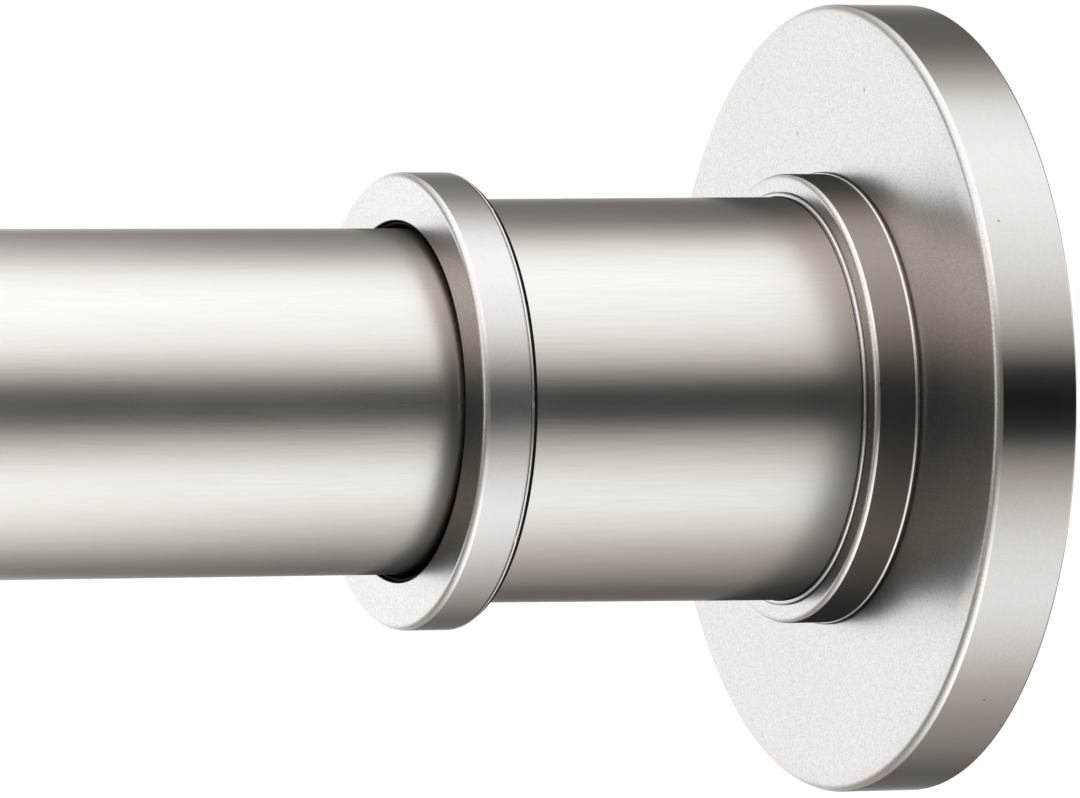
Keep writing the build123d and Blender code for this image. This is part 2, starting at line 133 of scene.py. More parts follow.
def along(depth, side):
    """X in metres of a depth in millimetres at one end of the rod."""
    return -depth * MM if side == "right" else (depth - ROD_LENGTH) * MM


def object_from(bm, name):
    """Put a bmesh into the scene as an object at the origin."""
    mesh = bpy.data.meshes.new(name)
    bm.to_mesh(mesh)
    bm.free()
    piece = bpy.data.objects.new(name, mesh)
    bpy.context.scene.collection.objects.link(piece)
    return piece


def finish_mesh(bm, name):
    """Turn a bmesh into an object with smooth shading that breaks at true corners."""
    bmesh.ops.remove_doubles(bm, verts=bm.verts, dist=WELD_DISTANCE * MM)
    bmesh.ops.recalc_face_normals(bm, faces=bm.faces)
    piece = object_from(bm, name)
    piece.data.shade_smooth()
    piece.data.set_sharp_from_angle(angle=SHARP_ANGLE)
    weighted = piece.modifiers.new("Even shading", "WEIGHTED_NORMAL")
    weighted.keep_sharp = True
    return piece


print("rod length", round(ROD_LENGTH, 1), "mm")

# %% [markdown]
# ## Turning an outline
#
# Flange, rings, sleeves and tubes are spun or turned metal. In Blender the same thing is a closed outline
# of a few points, with its corners rounded by a bevel, spun once about the rod's axis. A subdivision
# surface would round the edges too, but it also pulls flat faces and straight walls out of true. The spin
# keeps them exact, and the number of steps is high enough that no facet shows on the silhouette. The same
# step of spinning also makes the light tent and, a little at a time, the spring.

# %% Turned pieces
SPIN_STEPS = 288


def spin_about_rod(bm, geom, steps, angle=math.tau, advance=0.0):
    """Spin edges about the rod: once round and closed, or by an angle while they move along it."""
    spun = bmesh.ops.spin(
        bm,
        geom=geom,
        cent=(0, 0, 0),
        axis=(1, 0, 0),
        dvec=(advance, 0, 0),
        angle=angle,
        steps=steps,
        use_merge=angle == math.tau,
        use_duplicate=False,
    )
    return spun["geom_last"]


def turned(name, outline, rounds, side="right", steps=SPIN_STEPS):
    """Spin an outline of (depth, radius) points. rounds gives (point number, size, segments)."""
    bm = bmesh.new()
    points = [bm.verts.new((along(depth, side), 0.0, radius * MM)) for depth, radius in outline]
    for start, end in zip(points, points[1:] + points[:1]):
        bm.edges.new((start, end))
    for number, size, segments in rounds:
        bmesh.ops.bevel(
            bm,
            geom=[points[number]],
            offset=size * MM,
            offset_type="OFFSET",
            affect="VERTICES",
            segments=segments,
            profile=0.5,
            material=-1,
        )
    spin_about_rod(bm, bm.verts[:] + bm.edges[:], steps)
    return finish_mesh(bm, name)


print("degrees per step", math.degrees(math.tau / SPIN_STEPS))

# %% [markdown]
# ## Standing in for a solid
#
# A new piece takes its node's place: it rides on the same body, so that it moves with it, and carries the
# name of the finish that the record gives. Both ends of the rod wear the same shells, so one helper makes
# them in pairs.

# %% Stand-ins
def stand_in(piece, node, slot):
    """Let a new piece ride on its node's body, in the node's place, with a finish from the record."""
    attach(piece, node_body[node])
    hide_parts(node)
    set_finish(piece, slot)
    triangles = sum(len(face.vertices) - 2 for face in piece.data.polygons)
    print(piece.name, "stands for", node, "with", triangles, "triangles")
    return piece


def at_both_ends(make, node, slot):
    """Make a piece for each end of the rod, and let it stand in for that end's node."""
    return {side: stand_in(make(side), side + "_" + node, slot) for side in ("right", "left")}


# %% [markdown]
# ## The wall flange
#
# The flange is a dished metal disc. Its face isn't quite flat: a wide soft bevel runs round it, which is
# why the photograph shows a pale band inside the edge, and the edge itself is a small tight round that
# catches a hairline of light. Both are points of the outline. The bevel is so shallow that only the
# normals show it, so it gets a long blend of its own.

# %% Flanges
FLANGE_WALL = 1.2
EDGE_ROUND = 0.54
BACK_ROUND = 0.25
BEVEL_WIDTH = 1.3
BEVEL_RISE = 0.15
BEVEL_BLEND = 0.9


def make_flange(side):
    """Dished disc with a rim, a rounded edge, a shallow bevel and a hole for the neck ring."""
    inside = flange_radius - FLANGE_WALL
    outline = [
        (flange_start, inside),
        (flange_start, flange_radius),
        (flange_face - BEVEL_RISE, flange_radius),
        (flange_face, flange_radius - BEVEL_WIDTH),
        (flange_face, flange_hole),
        (flange_face - FLANGE_WALL, flange_hole),
        (flange_face - FLANGE_WALL, inside),
    ]
    rounds = [(1, BACK_ROUND, 5), (2, EDGE_ROUND, 8), (3, BEVEL_BLEND, 6)]
    return turned(side + "_flange_disc", outline, rounds, side)


at_both_ends(make_flange, "flange", "pearl_nickel")

# %% [markdown]
# ## The neck ring
#
# A stepped ring sits on the flange's face round the root of the sleeve. A fine lip at its foot makes a
# bright line with a dark seam under it, its front edge is a broad round, and a bead closes the joint with
# the sleeve. Lip and bead are part of the same turning on the real ring, so they are part of the outline
# here, and a bevel with few segments is enough for rounds this small.

# %% Neck rings
NECK_SPIGOT = 0.8
LIP_STAND = 0.18
LIP_WIDTH = 0.3
LIP_ROUND = 0.14
LIP_SLOPE = 0.08
LIP_SEAM = 0.12
NECK_ROUND = 0.42
BEAD_STAND = 0.28
BEAD_WIDTH = 0.3
BEAD_ROUND = 0.15
BEAD_SLOPE = 0.03
BEAD_SEAM = 0.06


def make_neck_ring(side):
    """Ring with a lip at its foot, a broad round in front, a bead, and a spigot in the flange's hole."""
    neck_radius = lip_radius - LIP_STAND
    neck_front = neck_end - BEAD_STAND
    bead_radius = neck_bore + BEAD_WIDTH
    lip_start = flange_face + LIP_SEAM
    outline = [
        (neck_start, neck_bore),
        (neck_start, neck_bore + NECK_SPIGOT),
        (flange_face, neck_bore + NECK_SPIGOT),
        (flange_face, neck_radius - LIP_STAND),
        (lip_start, neck_radius - LIP_STAND),
        (lip_start, lip_radius),
        (lip_start + LIP_WIDTH, lip_radius - LIP_SLOPE),
        (lip_start + LIP_WIDTH, neck_radius),
        (neck_front, neck_radius),
        (neck_front, bead_radius + BEAD_SEAM),
        (neck_front - BEAD_SEAM, bead_radius + BEAD_SEAM),
        (neck_front - BEAD_SEAM, bead_radius),
        (neck_end, bead_radius - BEAD_SLOPE),
        (neck_end, neck_bore),
    ]
    rounds = [(5, LIP_ROUND, 4), (6, LIP_ROUND, 4), (8, NECK_ROUND, 10), (12, BEAD_ROUND, 5)]
    return turned(side + "_neck_collar", outline, rounds, side)


at_both_ends(make_neck_ring, "neck_ring", "pearl_nickel")

# %% [markdown]
# ## The sleeve
#
# The sleeve is a thin tube whose outside narrows a little towards its mouth, as the photograph's two
# silhouettes show. It is straight otherwise, so four points are the whole outline.

# %% Sleeves
MOUTH_TAPER = 0.23


def make_sleeve(side):
    """Thin tube, a little wider outside at the flange."""
    outline = [
        (sleeve_start, sleeve_bore),
        (sleeve_start, sleeve_radius),
        (sleeve_end, sleeve_radius - MOUTH_TAPER),
        (sleeve_end, sleeve_bore),
    ]
    return turned(side + "_sleeve_tube", outline, [], side)


sleeves = at_both_ends(make_sleeve, "sleeve", "satin_nickel")

# %% [markdown]
# ## The end ring
#
# The ring at the sleeve's mouth is an L in section: a face with the bore for the tube, and a skirt behind.
# Its front edge is broad and soft and shines. Its back edge ends in a fine bead behind a groove. Both could
# be bump only, but the photograph looks along them, so they are steps of the outline.

# %% End rings
RING_FACE = 1.1
RING_SKIRT = 1.12
RING_FRONT_ROUND = 0.5
RING_BORE_ROUND = 0.15
RING_BEAD_WIDTH = 0.18
RING_BEAD_ROUND = 0.07
RING_GROOVE_WIDTH = 0.1
RING_GROOVE_DEPTH = 0.12


def make_ring(side):
    """Ring with a face, a skirt, a broad front edge, and a bead and groove at its back edge."""
    web = ring_end - RING_FACE
    inside = ring_radius - RING_SKIRT
    bead_end = ring_start + RING_BEAD_WIDTH
    groove_end = bead_end + RING_GROOVE_WIDTH
    groove_floor = ring_radius - RING_GROOVE_DEPTH
    outline = [
        (ring_start, inside),
        (ring_start, ring_radius),
        (bead_end, ring_radius),
        (bead_end, groove_floor),
        (groove_end, groove_floor),
        (groove_end, ring_radius),
        (ring_end, ring_radius),
        (ring_end, ring_bore),
        (web, ring_bore),
        (web, inside),
    ]
    rounds = [(number, RING_BEAD_ROUND, 3) for number in (1, 2, 5)]
    rounds += [(6, RING_FRONT_ROUND, 10), (7, RING_BORE_ROUND, 4)]
    return turned(side + "_end_ring", outline, rounds, side)


rings = at_both_ends(make_ring, "ring", "pearl_nickel")

# %% [markdown]
# The photographed ring has been handled: its back bead has two small nicks and a burr. Each is a column or
# two of the spun mesh, pressed in or raised by a tenth of a millimetre or less. A texture could darken the
# spots, but only real dents break the bead's line of light. Angles count up from the front of the rod.

# %% Nicks in the right ring
NICKS = [(-36.8, 0.10), (0.6, 0.07), (56.0, -0.05)]
NICK_HALF_WIDTH = 0.7


def press_nicks(ring):
    """Move the bead's vertices near each nick towards the axis, or away from it for a burr."""
    moved = 0
    groove_end = ring_start + RING_BEAD_WIDTH + RING_GROOVE_WIDTH
    for vertex in ring.data.vertices:
        x, y, z = vertex.co / MM
        radius = math.hypot(y, z)
        if -x > groove_end or radius < ring_radius - RING_GROOVE_DEPTH / 2:
            continue
        angle = math.degrees(math.atan2(z, -y))
        for place, depth in NICKS:
            if abs(angle - place) < NICK_HALF_WIDTH:
                share = (radius - depth) / radius
                vertex.co = (x * MM, y * share * MM, z * share * MM)
                moved += 1
    print("ring vertices moved", moved)


press_nicks(rings["right"])

# %% [markdown]
# ## The black liner
#
# The liner is the other half of the joint. It hooks over the sleeve's mouth inside the ring, so only its
# edge behind the ring and its funnel round the tube show: the black line, and the black crescent in the
# bore. It is so thin that its steps matter more than its rounds.

# %% Liners
LINER_FLANGE = 0.35
LINER_INSET = 0.25
CHANNEL_RADIUS = 15.02
CHANNEL_FLOOR = 13.88
LINER_ROUND = 0.08
MOUTH_WALL = 0.2
PRESS_GAP = 0.02


def make_liner(side):
    """Black moulding that straddles the sleeve's mouth, carries the ring and guides the tube."""
    start, end, bore, _ = measure(side + "_ring_carrier")
    if side == "left":
        start, end = ROD_LENGTH - end, ROD_LENGTH - start
    skirt = ring_radius - RING_SKIRT
    web = ring_end - RING_FACE
    mouth = ring_bore - PRESS_GAP
    outline = [
        (start, bore),
        (web, bore),
        (end, mouth - MOUTH_WALL),
        (end, mouth),
        (web, mouth),
        (web, skirt),
        (ring_start, skirt),
        (ring_start, ring_radius - LINER_INSET),
        (ring_start - LINER_FLANGE, ring_radius - LINER_INSET),
        (ring_start - LINER_FLANGE, CHANNEL_RADIUS),
        (sleeve_end, CHANNEL_RADIUS),
        (sleeve_end, CHANNEL_FLOOR),
        (start, CHANNEL_FLOOR),
    ]
    rounds = [(3, LINER_ROUND, 3), (8, LINER_ROUND, 3)]
    return turned(side + "_ring_liner", outline, rounds, side)


liners = at_both_ends(make_liner, "ring_carrier", "black_plastic")

# %% [markdown]
# ## The two tubes
#
# Both tubes are drawn steel: a wall of 0.8 mm, ends with the burr taken off, and two holes where pins hold
# the plugs inside. The holes are cut with a boolean, because a hole through a curved wall has no simple
# operator of its own. The cutters are removed afterwards.

# %% Tubes
END_ROUND = 0.12
PIN_HOLE_RADIUS = 1.27
PIN_HOLE_HEIGHT = 40.0
PIN_HOLE_SIDES = 32
TUBE_STEPS = 256


def drill(tube, depth):
    """Cut a hole at a depth straight through both walls of a tube."""
    bm = bmesh.new()
    bmesh.ops.create_cone(
        bm,
        cap_ends=True,
        segments=PIN_HOLE_SIDES,
        radius1=PIN_HOLE_RADIUS * MM,
        radius2=PIN_HOLE_RADIUS * MM,
        depth=PIN_HOLE_HEIGHT * MM,
        matrix=Matrix.Translation((-depth * MM, 0, 0)),
    )
    cutter = object_from(bm, "pin_hole")
    cut = tube.modifiers.new("Pin holes", "BOOLEAN")
    cut.object = cutter
    cut.solver = "EXACT"
    bpy.context.view_layer.objects.active = tube
    bpy.ops.object.modifier_move_to_index(modifier=cut.name, index=0)
    bpy.ops.object.modifier_apply(modifier=cut.name)
    bpy.data.objects.remove(cutter)


def make_tube(name, node, hole_depths):
    """Tube with eased ends and a pair of pin holes at each of the given depths."""
    start, end, bore, radius = measure(node)
    outline = [(start, bore), (start, radius), (end, radius), (end, bore)]
    rounds = [(number, END_ROUND, 3) for number in range(4)]
    tube = turned(name, outline, rounds, steps=TUBE_STEPS)
    for depth in hole_depths:
        drill(tube, depth)
    stand_in(tube, node, "satin_nickel")


def pin_depth(node):
    """Depth of the middle of a pair of pins."""
    start, end, _, _ = measure(node)
    return (start + end) / 2


make_tube("wide_tube", "outer_tube", [pin_depth("guide_pins")])
make_tube("narrow_tube", "inner_tube", [pin_depth("lock_plug_pins"), pin_depth("left_plug_pins")])

# %% [markdown]
# ## The bush between the tubes
#
# A plastic bush in the wide tube's mouth keeps the narrow tube from rattling and hides the cut edge. Only
# its lip shows, and a finger feels it, so the lip is the part that gets a generous round. The solid's bush
# would do, but its facets would show where the rod is pulled out.

# %% Bush in the wide tube's mouth
MOUTH_ROUND = 0.5
MOUTH_BORE_ROUND = 0.24
MOUTH_LIP = 1.8


def make_mouth_bush():
    """Bush with a rounded lip outside the tube's end and a long spigot inside it."""
    start, end, bore, radius = measure("tube_mouth_bush")
    shoulder = end - MOUTH_LIP
    spigot = tube_bore - PRESS_GAP
    outline = [
        (start, bore),
        (start, spigot),
        (shoulder, spigot),
        (shoulder, radius),
        (end, radius),
        (end, bore),
    ]
    rounds = [(4, MOUTH_ROUND, 6), (5, MOUTH_BORE_ROUND, 4)]
    return turned("tube_mouth_collar", outline, rounds)


stand_in(make_mouth_bush(), "tube_mouth_bush", "black_plastic")

# %% [markdown]
# ## The rubber feet
#
# A grooved rubber disc grips each wall. From behind it is the largest face of the whole rod, so its three
# grooves get rounded lips, as moulded rubber has.

# %% Rubber feet
GROOVE_COUNT = 3
GROOVE_PITCH = 6.0
GROOVE_WIDTH = 1.2
GROOVE_DEPTH = 0.5
GROOVE_LIP = 0.12
PAD_ROUND = 0.3


def make_foot(side):
    """Disc with round grooves in its wall side and a rounded rim."""
    _, thickness, _, radius = measure("right_wall_pad")
    outline = [(0.0, 0.0)]
    rounds = []
    for number in reversed(range(GROOVE_COUNT)):
        outside = radius - (number + 1) * GROOVE_PITCH
        inside = outside - GROOVE_WIDTH
        first = len(outline)
        outline += [(0.0, inside), (GROOVE_DEPTH, inside), (GROOVE_DEPTH, outside), (0.0, outside)]
        rounds += [(first, GROOVE_LIP, 3), (first + 3, GROOVE_LIP, 3)]
    rounds.append((len(outline), PAD_ROUND, 5))
    outline += [(0.0, radius), (thickness, radius), (thickness, 0.0)]
    return turned(side + "_rubber_foot", outline, rounds, side)


at_both_ends(make_foot, "wall_pad", "grey_rubber")

# %% [markdown]
# ## The spring
#
# A pressure spring is wire wound into a helix. Its last turns lie close together and are ground flat, so
# that it stands square on its washer. A curve with a round bevel could make the helix, but the ends would
# need cutting anyway, so the wire's section is spun step by step, each step also moving along the axis.
# The move per step is small over the end turns and grows smoothly between them. The pitch of the open turns
# isn't given: it is whatever makes the whole spring as long as its solid.

# %% Pitch of the spring
WIRE_RADIUS = 1.0
SPRING_TURNS = 9.0
CLOSED_TURNS = 0.75
EASING_TURNS = 0.75
CLOSED_PITCH = 2.04
STEPS_PER_TURN = 48
PITCH_RANGE = (2.0, 20.0)
HALVINGS = 40

spring_start, spring_end, _, spring_radius = measure("tension_spring")
turns = [(step + 0.5) / STEPS_PER_TURN for step in range(int(SPRING_TURNS * STEPS_PER_TURN))]


def pitch_at(turn, pitch):
    """Pitch at a number of turns from the start: closed at both ends, easing to the open pitch."""
    from_end = min(turn, SPRING_TURNS - turn)
    rise = min(max((from_end - CLOSED_TURNS) / EASING_TURNS, 0.0), 1.0)
    return CLOSED_PITCH + (pitch - CLOSED_PITCH) * rise * rise * (3 - 2 * rise)


def find_pitch(length):
    """Open pitch that gives the spring a length, found by halving a range again and again."""
    low, high = PITCH_RANGE
    for _ in range(HALVINGS):
        pitch = (low + high) / 2
        advance = sum(pitch_at(turn, pitch) for turn in turns) / STEPS_PER_TURN
        low, high = (pitch, high) if advance < length else (low, pitch)
    return pitch


open_pitch = find_pitch(spring_end - spring_start)
print("spring pitch", round(open_pitch, 2), "mm over", SPRING_TURNS, "turns")

# %% [markdown]
# The wire starts as one small circle. Each spin turns its last ring of edges by one step and moves it on by
# the pitch there. Two planes then cut the first and last turn square, as the grinder does.

# %% Spring
WIRE_SIDES = 20


def grind(bm, depth, outward):
    """Cut the wire off flat at a depth and close the cut."""
    cut = bmesh.ops.bisect_plane(
        bm,
        geom=bm.verts[:] + bm.edges[:] + bm.faces[:],
        plane_co=(-depth * MM, 0, 0),
        plane_no=(outward, 0, 0),
        clear_outer=True,
    )
    rim = [item for item in cut["geom_cut"] if isinstance(item, bmesh.types.BMEdge)]
    bmesh.ops.edgenet_fill(bm, edges=rim)


def make_spring():
    """Helix of round wire with closed ends ground flat, of the length that the solid has."""
    bm = bmesh.new()
    section = bmesh.ops.create_circle(
        bm,
        segments=WIRE_SIDES,
        radius=WIRE_RADIUS * MM,
        matrix=Matrix.Translation((-spring_start * MM, 0, (spring_radius - WIRE_RADIUS) * MM)),
    )
    loop = section["verts"] + list({edge for vertex in section["verts"] for edge in vertex.link_edges})
    for turn in turns:
        advance = -pitch_at(turn, open_pitch) / STEPS_PER_TURN * MM
        loop = spin_about_rod(bm, loop, 1, math.tau / STEPS_PER_TURN, advance)
    bmesh.ops.holes_fill(bm, edges=bm.edges, sides=WIRE_SIDES)
    grind(bm, spring_start, 1)
    grind(bm, spring_end, -1)
    return finish_mesh(bm, "coil_spring")


spring = make_spring()
print("spring faces", len(spring.data.polygons))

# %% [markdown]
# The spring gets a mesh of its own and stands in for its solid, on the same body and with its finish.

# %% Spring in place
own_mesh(spring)
stand_in(spring, "tension_spring", "spring_steel")

# %% [markdown]
# ## Tools for materials
#
# Materials here are small networks of nodes. Written out node by node they would be long and hard to read,
# so a few helpers each do one step: add a node and fill in its settings, do a sum, fit a value into a range,
# or mix two colours. Each returns the socket that the next step needs. A Mix node has a set of sockets for
# each kind of data under the same names, so the ones for colours are picked by number.

# %% Node helpers
MIX_INPUTS = (0, 6, 7)
MIX_RESULT = 2


def add_node(tree, kind, settings=None, **inputs):
    """Add a node, set its properties from settings and its inputs by name."""
    node = tree.nodes.new(kind)
    for name, value in (settings or {}).items():
        setattr(node, name, value)
    for name, value in inputs.items():
        node.inputs[name.replace("_", " ")].default_value = value
    return node


def feed(tree, socket, value):
    """Link another socket to an input, or write a plain value into it."""
    if isinstance(value, bpy.types.NodeSocket):
        tree.links.new(value, socket)
    elif value is not None:
        socket.default_value = value


def math_node(tree, operation, first, second=None):
    """Add a Math node and feed it with sockets or numbers."""
    node = add_node(tree, "ShaderNodeMath", {"operation": operation})
    feed(tree, node.inputs[0], first)
    feed(tree, node.inputs[1], second)
    return node.outputs[0]


def map_range(tree, value, low, high, new_low, new_high):
    """Add a Map Range node with fixed limits."""
    node = add_node(tree, "ShaderNodeMapRange", {"interpolation_type": "SMOOTHSTEP"})
    tree.links.new(value, node.inputs["Value"])
    for name, number in (("From Min", low), ("From Max", high), ("To Min", new_low), ("To Max", new_high)):
        node.inputs[name].default_value = number
    return node.outputs["Result"]


def mix_colours(tree, factor, first, second):
    """Add a Mix node between two colours, which are sockets or plain values."""
    mix = add_node(tree, "ShaderNodeMix", {"data_type": "RGBA"})
    for number, value in zip(MIX_INPUTS, (factor, first, second)):
        feed(tree, mix.inputs[number], value)
    return mix.outputs[MIX_RESULT]


def weighted_sum(tree, *parts):
    """Add up sockets, each times its own weight."""
    total = None
    for value, weight in parts:
        share = math_node(tree, "MULTIPLY", value, weight)
        total = share if total is None else math_node(tree, "ADD", total, share)
    return total


def coordinates(tree, kind):
    """X, Y and Z of a point on the piece, or of its surface normal."""
    place = add_node(tree, "ShaderNodeTexCoord")
    parts = add_node(tree, "ShaderNodeSeparateXYZ")
    tree.links.new(place.outputs[kind], parts.inputs["Vector"])
    return parts.outputs


# %% [markdown]
# Effects that several finishes share, such as brushing, pearl grain and moulded texture, are node groups
# with named sockets that give out only masks and heights. The Principled shader and its constants stay in
# each material. All of the effects start from noise on object coordinates, so that the pattern stays on
# the piece when the rod moves.

# %% Groups and noise
NOISE_LOW = 0.3
NOISE_HIGH = 0.7


def new_group(name, inputs, outputs):
    """Make an empty shader node group with number inputs and outputs."""
    group = bpy.data.node_groups.new(name, "ShaderNodeTree")
    for label, value in inputs.items():
        socket = group.interface.new_socket(label, in_out="INPUT", socket_type="NodeSocketFloat")
        socket.default_value = value
    for label in outputs:
        group.interface.new_socket(label, in_out="OUTPUT", socket_type="NodeSocketFloat")
    return group, group.nodes.new("NodeGroupInput"), group.nodes.new("NodeGroupOutput")


def give_out(group, outside, **sockets):
    """Link sockets to the group's outputs by name."""
    for name, socket in sockets.items():
        group.links.new(socket, outside.inputs[name])


def stretched_noise(tree, size, detail, along_scale=1.0):
    """Noise on object coordinates with features of a size in metres, stretched along the rod."""
    place = add_node(tree, "ShaderNodeTexCoord")
    mapping = add_node(tree, "ShaderNodeMapping")
    mapping.inputs["Scale"].default_value = (along_scale / size, 1 / size, 1 / size)
    noise = add_node(tree, "ShaderNodeTexNoise", {"normalize": True}, Scale=1.0, Detail=detail)
    tree.links.new(place.outputs["Object"], mapping.inputs["Vector"])
    tree.links.new(mapping.outputs["Vector"], noise.inputs["Vector"])
    return noise.outputs["Fac"]


print("noise is spread over", NOISE_LOW, "to", NOISE_HIGH)

# %% [markdown]
# ## Brushed lines
#
# The tubes and sleeves are brushed along their length: thousands of hairline scratches, a few of them
# deeper, and each a few millimetres long. Noise that is stretched along the rod gives them. Two sizes of
# line and a short grit are laid over each other, and a fourth noise, much larger and softer, lets the
# finish vary as a hand-held polish does.

# %% Brushed lines group
HAIRLINES = {"size": 0.00016, "detail": 2.0, "along_scale": 0.035}
SCRATCHES = {"size": 0.0005, "detail": 2.0, "along_scale": 0.05}
GRIT = {"size": 0.00022, "detail": 1.0, "along_scale": 0.35}
POLISH = {"size": 0.012, "detail": 2.0, "along_scale": 0.4}


def make_brushed_group():
    """Group with the height of the hairlines and a slow change of the finish."""
    group, inside, outside = new_group("Brushed lines", {"Depth": 1.0}, ("Height", "Streaks", "Cloud"))
    hairlines = stretched_noise(group, **HAIRLINES)
    scratches = stretched_noise(group, **SCRATCHES)
    grit = stretched_noise(group, **GRIT)
    cloud = stretched_noise(group, **POLISH)
    lines = weighted_sum(group, (hairlines, 0.5), (scratches, 0.3), (grit, 0.2))
    height = math_node(group, "MULTIPLY", lines, inside.outputs["Depth"])
    give_out(group, outside, Height=height, Streaks=lines, Cloud=cloud)
    return group


brushed_lines = make_brushed_group()
print("group", brushed_lines.name, "nodes", len(brushed_lines.nodes))

# %% [markdown]
# ## Pearl grain
#
# The flange and the rings aren't brushed. They are blasted or sprayed, and show tiny specks, lighter and
# darker, with no direction. Cells of a Voronoi texture give each speck its own value, and noise breaks up
# their regular look. A second Voronoi texture, twenty times as coarse, leaves a small dark pit in some of
# its cells, as a bought rod has here and there.

# %% Pearl grain group
SPECKS_PER_METRE = 8500.0
GRAIN = {"size": 0.0001, "detail": 2.0}
MOTTLE = {"size": 0.0009, "detail": 2.0}
PEARL_CLOUD = {"size": 0.011, "detail": 2.0}
PIT_CELLS_PER_METRE = 420.0
PIT_CHANCE = 0.5
PIT_SIZE = 0.085


def random_cells(tree, cells_per_metre):
    """Voronoi cells on object coordinates: the random values of each, and the distance to its middle."""
    place = add_node(tree, "ShaderNodeTexCoord")
    cells = add_node(tree, "ShaderNodeTexVoronoi", {"feature": "F1"}, Scale=cells_per_metre)
    values = add_node(tree, "ShaderNodeSeparateColor")
    tree.links.new(place.outputs["Object"], cells.inputs["Vector"])
    tree.links.new(cells.outputs["Color"], values.inputs["Color"])
    return values.outputs, cells.outputs["Distance"]


def make_pearl_group():
    """Group with the height, sparkle, slow change and pits of a blasted metal face."""
    outputs = ("Height", "Sparkle", "Cloud", "Pits")
    group, inside, outside = new_group("Pearl grain", {"Depth": 1.0}, outputs)
    specks, _ = random_cells(group, SPECKS_PER_METRE)
    fine = stretched_noise(group, **GRAIN)
    wide = stretched_noise(group, **MOTTLE)
    cloud = stretched_noise(group, **PEARL_CLOUD)
    sparkle = weighted_sum(group, (specks["Red"], 0.45), (fine, 0.55))
    height = weighted_sum(group, (fine, 0.7), (wide, 0.3))
    height = math_node(group, "MULTIPLY", height, inside.outputs["Depth"])
    chance, distance = random_cells(group, PIT_CELLS_PER_METRE)
    size = map_range(group, chance["Green"], PIT_CHANCE, 1.0, 0.0, PIT_SIZE)
    depth = math_node(group, "SUBTRACT", size, distance)
    pits = map_range(group, depth, 0.0, PIT_SIZE * 0.5, 0.0, 1.0)
    give_out(group, outside, Height=height, Sparkle=sparkle, Cloud=cloud, Pits=pits)
    return group


pearl_grain = make_pearl_group()
print("group", pearl_grain.name, "nodes", len(pearl_grain.nodes))

# %% [markdown]
# ## Moulded texture
#
# Plastic and rubber take the texture of their mould: a fine, even orange peel, with a slow change of gloss
# where the plastic cooled at a different rate.

# %% Moulded texture group
PEEL = {"size": 0.00035, "detail": 3.0}
GLOSS_CLOUD = {"size": 0.007, "detail": 2.0}


def make_moulded_group():
    """Group with the height of a mould's texture and a slow change of gloss."""
    group, inside, outside = new_group("Moulded texture", {"Depth": 1.0}, ("Height", "Cloud"))
    peel = stretched_noise(group, **PEEL)
    cloud = stretched_noise(group, **GLOSS_CLOUD)
    height = math_node(group, "MULTIPLY", peel, inside.outputs["Depth"])
    give_out(group, outside, Height=height, Cloud=cloud)
    return group


moulded_texture = make_moulded_group()
print("group", moulded_texture.name, "nodes", len(moulded_texture.nodes))

# %% [markdown]
# ## The finishes
#
# Each finish is one material with a Principled shader. They differ in a few values and in which group
# breaks up their colour, gloss and surface, so the common part is built by helpers.

# %% Material builder
def new_material(name, group, depth):
    """A material with a Principled shader and one of the groups already placed."""
    material = bpy.data.materials.new(name)
    material.use_nodes = True
    tree = material.node_tree
    shader = tree.nodes["Principled BSDF"]
    effect = add_node(tree, "ShaderNodeGroup", {"node_tree": group}, Depth=depth)
    return material, tree, shader, effect


def colour_between(tree, factor, dark, light):
    """Mix two plain colours by a mask."""
    return mix_colours(tree, factor, (*dark, 1.0), (*light, 1.0))


def add_bump(tree, shader, height, distance, strength=1.0):
    """Feed a height to the shader's normal through a Bump node."""
    bump = add_node(tree, "ShaderNodeBump", Strength=strength, Distance=distance)
    tree.links.new(height, bump.inputs["Height"])
    tree.links.new(bump.outputs["Normal"], shader.inputs["Normal"])


def cloudy(tree, effect, low, high):
    """A value that drifts between two limits with the group's slow change."""
    return map_range(tree, effect.outputs["Cloud"], NOISE_LOW, NOISE_HIGH, low, high)


print("groups ready", brushed_lines.name, pearl_grain.name, moulded_texture.name)

# %% [markdown]
# ## Satin nickel and steel
#
# Satin nickel is a warm grey metal: red a little over green, green over blue. Its roughness sets how far
# the studio's bands blur round the tube, so it is the value that matters most, and the brushing only breaks
# the bands up. An anisotropic shader could blur them one way, but it is slow to clear of noise, and the
# photograph's bands are soft in both ways. The sleeve is polished a little further than the tube. Plain and
# spring steel are the turned and drawn parts inside the rod. They share the brushed lines, which suit bar
# and wire too.

# %% Satin nickel and steel
SATIN_DARK = (0.745, 0.70, 0.655)
SATIN_LIGHT = (0.775, 0.73, 0.685)
SATIN_RELIEF = 0.000003
STEEL_DARK = (0.50, 0.51, 0.53)
STEEL_LIGHT = (0.62, 0.63, 0.65)
WIRE_DARK = (0.30, 0.30, 0.32)
WIRE_LIGHT = (0.42, 0.42, 0.44)
STEEL_RELIEF = 0.000004


def make_brushed_metal(name, dark, light, rough_low, rough_high, relief):
    """Metal brushed along the rod, between two near colours."""
    material, tree, shader, effect = new_material(name, brushed_lines, 1.0)
    shader.inputs["Metallic"].default_value = 1.0
    streaks = map_range(tree, effect.outputs["Streaks"], NOISE_LOW, NOISE_HIGH, 0.0, 1.0)
    tree.links.new(colour_between(tree, streaks, dark, light), shader.inputs["Base Color"])
    tree.links.new(cloudy(tree, effect, rough_low, rough_high), shader.inputs["Roughness"])
    add_bump(tree, shader, effect.outputs["Height"], relief)
    print("finish", name, "roughness", rough_low, "to", rough_high)
    return material


